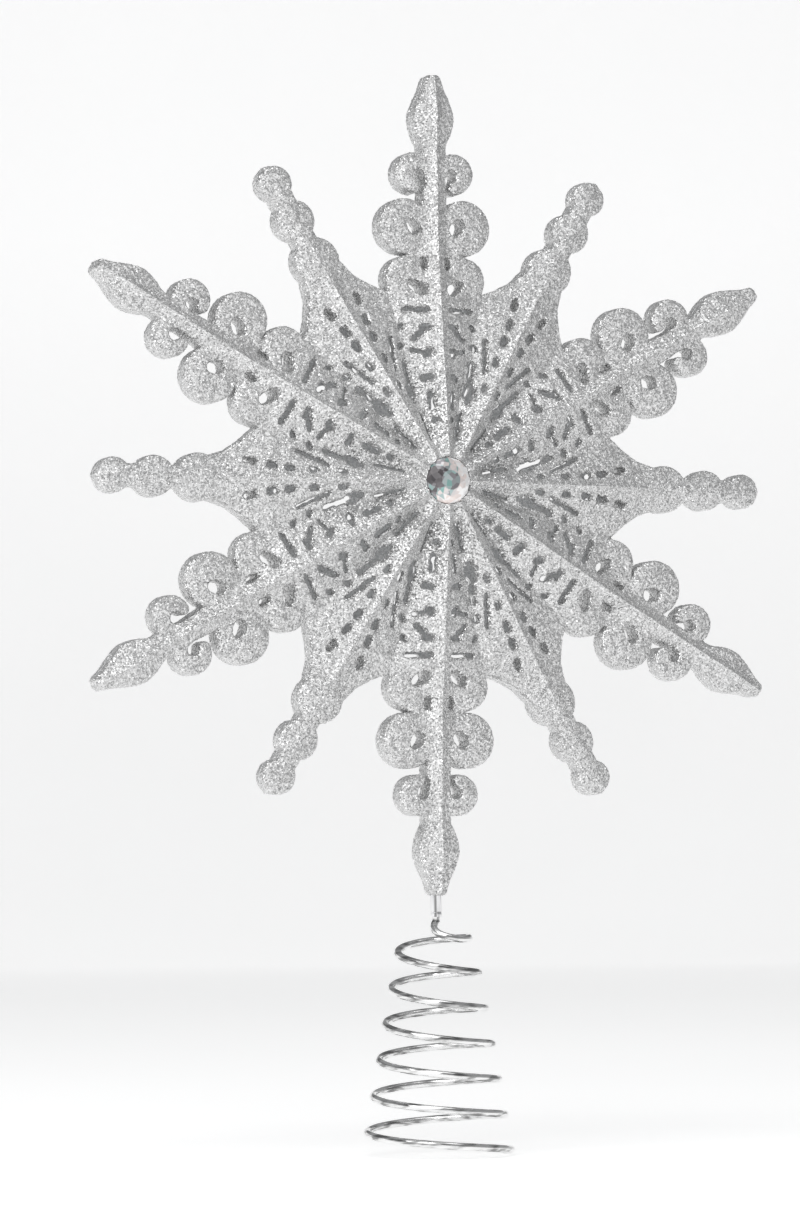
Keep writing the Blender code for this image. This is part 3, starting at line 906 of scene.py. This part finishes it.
def plated_material(name, colour, low, high, streaks):
    """Bright plating with drawing marks along it, in its roughness and bump; the same marks darken the base
    colour in streaks, as painted dark reflections. streaks holds the marks per metre along X, Y and Z.
    """
    material, tree, shader = node_material(name)
    place = tree.nodes.new("ShaderNodeTexCoord").outputs["Object"]
    marks_and_painted_reflections = tree.nodes.new("ShaderNodeTexNoise")
    marks_and_painted_reflections.inputs["Scale"].default_value = 1.0
    marks_and_painted_reflections.inputs["Detail"].default_value = 3.0
    tree.links.new(vector_math(tree, "MULTIPLY", place, streaks), marks_and_painted_reflections.inputs["Vector"])
    tree.links.new(ramp(tree, marks_and_painted_reflections.outputs["Fac"], ((0.3, low), (0.7, high))), shader.inputs["Roughness"])
    # Painted dark reflections: where the marks are low, the base colour falls to a third of the plating's
    # colour
    dark = tuple(0.3 * part for part in colour)
    middle = tuple(0.8 * part for part in colour)
    painted_reflection = ramp(tree, marks_and_painted_reflections.outputs["Fac"], ((0.38, dark), (0.5, middle), (0.6, colour)))
    tree.links.new(painted_reflection, shader.inputs["Base Color"])
    bump = tree.nodes.new("ShaderNodeBump")
    bump.inputs["Strength"].default_value = 0.12
    bump.inputs["Distance"].default_value = 0.00005
    tree.links.new(marks_and_painted_reflections.outputs["Fac"], bump.inputs["Height"])
    tree.links.new(bump.outputs["Normal"], shader.inputs["Normal"])
    shader.inputs["Metallic"].default_value = 1.0
    return material


def map_range(tree, value, low, high, start, end):
    """A smooth step from start to end as value goes from low to high."""
    node = tree.nodes.new("ShaderNodeMapRange")
    node.interpolation_type = "SMOOTHSTEP"
    for name, number in (("From Min", low), ("From Max", high), ("To Min", start), ("To Max", end)):
        node.inputs[name].default_value = number
    tree.links.new(value, node.inputs["Value"])
    return node.outputs["Result"]


def times(tree, a, b):
    """Two values multiplied."""
    node = tree.nodes.new("ShaderNodeMath")
    node.operation = "MULTIPLY"
    tree.links.new(a, node.inputs[0])
    tree.links.new(b, node.inputs[1])
    return node.outputs["Value"]


def reach_towards(tree, place, azimuth):
    """How far a point lies in one direction. Azimuth 0 is in front of the object, 90 on its right."""
    node = tree.nodes.new("ShaderNodeVectorMath")
    node.operation = "DOT_PRODUCT"
    angle = math.radians(azimuth)
    node.inputs[1].default_value = (math.sin(angle), -math.cos(angle), 0)
    tree.links.new(place, node.inputs[0])
    return node.outputs["Value"]


def stage_material():
    """A pale matt backdrop that glows softly, less on the right."""
    material, tree, shader = node_material("pale_floor")
    place = tree.nodes.new("ShaderNodeTexCoord").outputs["Object"]
    noise_node = tree.nodes.new("ShaderNodeTexNoise")
    noise_node.inputs["Scale"].default_value = 3.0
    tree.links.new(place, noise_node.inputs["Vector"])
    colour = ramp(tree, noise_node.outputs["Fac"], ((0.3, 0.8), (0.7, 0.82)))
    tree.links.new(colour, shader.inputs["Base Color"])
    shader.inputs["Roughness"].default_value = 0.9
    shader.inputs["Specular IOR Level"].default_value = 0.1
    split = tree.nodes.new("ShaderNodeSeparateXYZ")
    tree.links.new(place, split.inputs["Vector"])
    height = map_range(tree, split.outputs["Z"], 0.0, WALL_GLOW_HEIGHT, FLOOR_GLOW, WALL_GLOW)
    to_side = reach_towards(tree, place, DIM_SIDE_AZIMUTH)
    side = map_range(tree, to_side, DIM_SIDE_START, DIM_SIDE_END, 1.0, DIM_SIDE)
    glow = tree.nodes.new("ShaderNodeEmission")
    tree.links.new(times(tree, height, side), glow.inputs["Strength"])
    both = tree.nodes.new("ShaderNodeAddShader")
    tree.links.new(shader.outputs["BSDF"], both.inputs[0])
    tree.links.new(glow.outputs["Emission"], both.inputs[1])
    tree.links.new(both.outputs["Shader"], tree.nodes["Material Output"].inputs["Surface"])
    return material


# ---------------------------------------------------------------- stage, lights and camera

def make_stage():
    """A pale floor that curves up into a wall all round, far outside the object."""
    floor_height = SPRING_LOW.z
    profile = [(STAGE_MIDDLE, floor_height), (STAGE_FLAT, floor_height)]
    for k in range(1, STAGE_CURVE_STEPS + 1):
        angle = math.pi / 2 * k / STAGE_CURVE_STEPS
        out, up = math.sin(angle), 1 - math.cos(angle)
        profile.append((STAGE_FLAT + STAGE_CURVE * out, floor_height + STAGE_CURVE * up))
    profile.append((STAGE_FLAT + STAGE_CURVE, STAGE_WALL))
    work = bmesh.new()
    rows = [add_circle(work, radius, height, STAGE_SIDES) for radius, height in profile]
    add_skin(work, rows)
    work.faces.new(rows[0])
    data = filled_mesh(work, bpy.data.meshes.new("stage"))
    data.shade_smooth()
    stage = bpy.data.objects.new("stage", data)
    bpy.context.collection.objects.link(stage)
    data.materials.append(stage_material())


def direction(azimuth, elevation):
    """The way from the hub to a light or camera, in radians. Azimuth 0 is in front, a quarter turn right."""
    level = math.cos(elevation)
    return Vector((math.sin(azimuth) * level, -math.cos(azimuth) * level, math.sin(elevation)))


def make_light(name, azimuth, elevation, distance, size, power):
    """A square soft light aimed at the hub, with its angles in degrees."""
    back = direction(math.radians(azimuth), math.radians(elevation))
    lamp = bpy.data.lights.new(name, "AREA")
    lamp.size = size
    lamp.energy = power
    light = bpy.data.objects.new(name, lamp)
    bpy.context.collection.objects.link(light)
    light.location = HUB + back * distance
    light.rotation_mode = "QUATERNION"
    light.rotation_quaternion = (-back).to_track_quat("-Z", "Y")


def make_world():
    world = bpy.data.worlds.new("studio")
    bpy.context.scene.world = world
    world.use_nodes = True
    background = world.node_tree.nodes["Background"]
    background.inputs["Color"].default_value = (0.98, 0.99, 1.0, 1.0)
    background.inputs["Strength"].default_value = WORLD_GLOW


def make_camera():
    back = direction(CAMERA_AZIMUTH, CAMERA_ELEVATION)
    right = Vector((math.cos(CAMERA_AZIMUTH), math.sin(CAMERA_AZIMUTH), 0))
    up = back.cross(right)
    data = bpy.data.cameras.new("camera")
    data.lens = CAMERA_LENS
    data.sensor_width = 36.0
    data.clip_start = 0.05
    data.clip_end = 50.0
    camera = bpy.data.objects.new("camera", data)
    bpy.context.collection.objects.link(camera)
    place = HUB + back * CAMERA_DISTANCE + right * CAMERA_ACROSS + up * CAMERA_RISE
    turn = Matrix((right, up, back)).transposed().to_4x4()
    camera.matrix_world = Matrix.Translation(place) @ turn @ Matrix.Rotation(CAMERA_ROLL, 4, "Z")
    bpy.context.scene.camera = camera


def main():
    make_camera()
    make_world()
    make_stage()
    bpy.context.scene.view_settings.view_transform = "Standard"
    make_light("key", -45, 36, 2.3, 2.2, 26)
    make_light("spark", -30, 48, 2.2, 0.25, 2)
    make_light("top", 10, 74, 2.2, 1.4, 7)
    noise.seed_set(SEED)
    half = HalfSector()
    glitter = glitter_material()
    plastic = plastic_material()
    make_shell("front_shell_fine", half, -1, glitter, plastic, "front_shell")
    make_shell("rear_shell_fine", half, 1, glitter, plastic, "rear_shell")
    stone = gem_material()
    make_gem("front_stone", -1, stone, "front_gem")
    make_gem("rear_stone", 1, stone, "rear_gem")
    make_sleeve(plated_material("sleeve_plating", (0.85, 0.85, 0.86), 0.1, 0.24, (1100.0, 1100.0, 60.0)))
    make_spring(plated_material("spring_plating", (0.9, 0.9, 0.9), 0.05, 0.16, (160.0, 160.0, 900.0)))


main()
